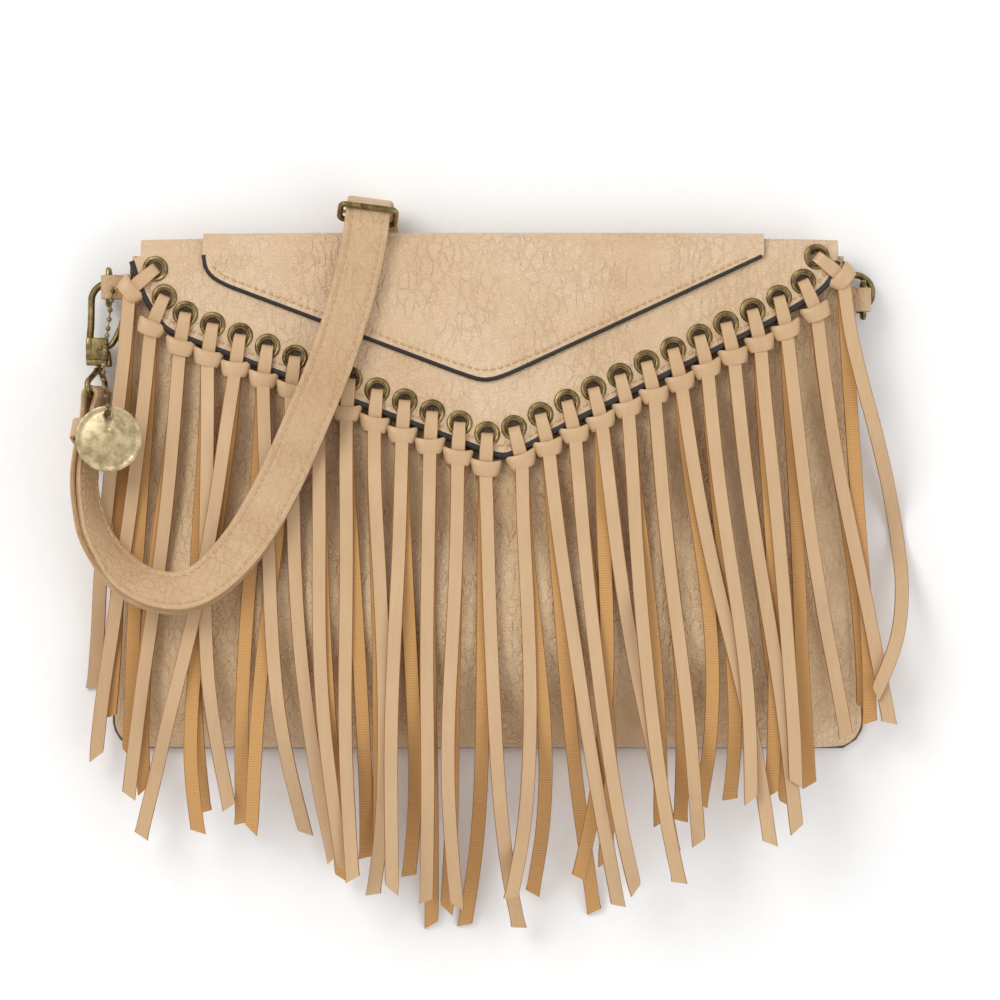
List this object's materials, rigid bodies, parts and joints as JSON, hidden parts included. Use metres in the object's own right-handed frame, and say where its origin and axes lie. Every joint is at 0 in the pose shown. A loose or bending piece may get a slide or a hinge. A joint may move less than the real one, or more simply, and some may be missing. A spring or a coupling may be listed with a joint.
{
  "type": "fringed shoulder bag",
  "caption": "Small shoulder bag with a pointed snap flap edged with eyelets and long knotted laces, a doubled strap on swivel hooks and a round charm.",
  "frame": {"origin": "centre of the flat part of the back panel, on the surface the bag lies on", "axes": "+X along the bag to the viewer's right, +Y from its bottom edge to its top fold, +Z out of its front"},
  "size_m": [0.3112, 0.2724, 0.0504],
  "materials": {
    "pebbled_leather": "fine pebbled grain, tan",
    "lace": "smooth tan face, ribbed suede back",
    "lining_cloth": "woven, matt",
    "antique_brass": "antiqued, satin"
  },
  "bodies": {
    "root": {"back_panel": "pebbled_leather", "ball_chain": "antique_brass", "charm": "antique_brass", "flap": "pebbled_leather", "flap_yoke": "pebbled_leather", "front_panel": "pebbled_leather", "lace_01": "lace", "lace_02": "lace", "lace_03": "lace", "lace_04": "lace", "lace_05": "lace", "lace_06": "lace", "lace_07": "lace", "lace_08": "lace", "lace_09": "lace", "lace_10": "lace", "lace_11": "lace", "lace_12": "lace", "lace_13": "lace", "lace_14": "lace", "lace_15": "lace", "lace_16": "lace", "lace_17": "lace", "lace_18": "lace", "lace_19": "lace", "lace_20": "lace", "lace_21": "lace", "lace_22": "lace", "lace_23": "lace", "lace_24": "lace", "lace_25": "lace", "lace_26": "lace", "lace_27": "lace", "left_ring_tab": "pebbled_leather", "left_swivel_eye": "antique_brass", "lining": "lining_cloth", "right_ring_tab": "pebbled_leather", "right_swivel_eye": "antique_brass", "slider": "antique_brass", "snap_button": "antique_brass", "snap_socket": "antique_brass", "strap": "pebbled_leather", "strap_keeper": "pebbled_leather"},
    "left_hook": {"left_hook_body": "antique_brass"},
    "left_gate": {"left_hook_gate": "antique_brass"},
    "left_ring": {"left_d_ring": "antique_brass"},
    "right_hook": {"right_hook_body": "antique_brass"},
    "right_gate": {"right_hook_gate": "antique_brass"},
    "right_ring": {"right_d_ring": "antique_brass"}
  },
  "joints": [
    {"name": "left_hook_turn", "type": "hinge", "parent": "root", "child": "left_hook", "pos_m": [-0.1449, 0.0997, 0.0095], "axis": [0, 1, 0], "range_deg": [-3, 10]},
    {"name": "left_gate_open", "type": "hinge", "parent": "left_hook", "child": "left_gate", "pos_m": [-0.1441, 0.105, 0.0095], "axis": [0, 0, 1], "range_deg": [0, 12], "stiffness_Nm_per_rad": 0.005, "springref_deg": -20.05},
    {"name": "left_ring_swing", "type": "hinge", "parent": "root", "child": "left_ring", "pos_m": [-0.141, 0.1275, 0.0145], "axis": [0, 1, 0], "range_deg": [-10, 10]},
    {"name": "right_hook_turn", "type": "hinge", "parent": "root", "child": "right_hook", "pos_m": [0.11332, 0.12565, 0.0054], "axis": [0.9848, 0.1736, 0], "range_deg": [-8, 1]},
    {"name": "right_gate_open", "type": "hinge", "parent": "right_hook", "child": "right_gate", "pos_m": [0.11868, 0.12578, 0.0054], "axis": [0, 0, 1], "range_deg": [0, 12], "stiffness_Nm_per_rad": 0.005, "springref_deg": -20.05},
    {"name": "right_ring_swing", "type": "hinge", "parent": "root", "child": "right_ring", "pos_m": [0.1395, 0.1229, 0.0127], "axis": [0, 1, 0], "range_deg": [0, 4]}
  ]
}
